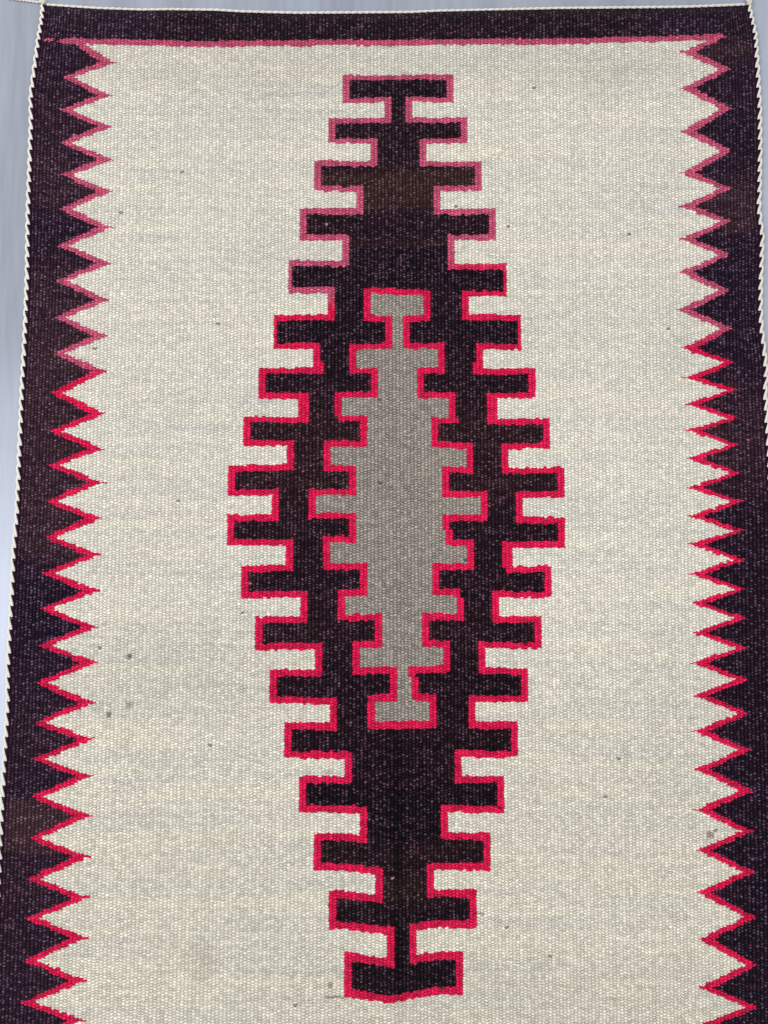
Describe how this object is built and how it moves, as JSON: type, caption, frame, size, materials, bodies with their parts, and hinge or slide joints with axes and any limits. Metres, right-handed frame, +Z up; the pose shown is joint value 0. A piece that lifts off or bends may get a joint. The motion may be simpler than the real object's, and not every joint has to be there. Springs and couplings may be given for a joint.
{
  "type": "navajo rug",
  "caption": "Flat handwoven wool rug with fine lengthwise ribs, twisted cords along its edges, and a knot with loose tails at each corner.",
  "frame": {"origin": "the middle of the whole footprint, corner tails included, on the floor that the rug lies on", "axes": "+X across the rug to its right edge, +Y along the rug to its top end, +Z up out of its face"},
  "size_m": [1.1406, 1.617, 0.0076],
  "materials": {
    "woven_wool": "matte hard-spun wool, weft-faced, cream with dark, red and grey woven in",
    "cord_wool": "matte two-strand twisted cream wool"
  },
  "bodies": {
    "root": {"woven_field": "woven_wool", "side_cord_left": "cord_wool", "side_cord_right": "cord_wool", "end_cord_top": "cord_wool", "end_cord_bottom": "cord_wool", "corner_tie_top_left": "cord_wool", "corner_tie_top_right": "cord_wool", "corner_tie_bottom_left": "cord_wool", "corner_tie_bottom_right": "cord_wool"}
  },
  "joints": []
}
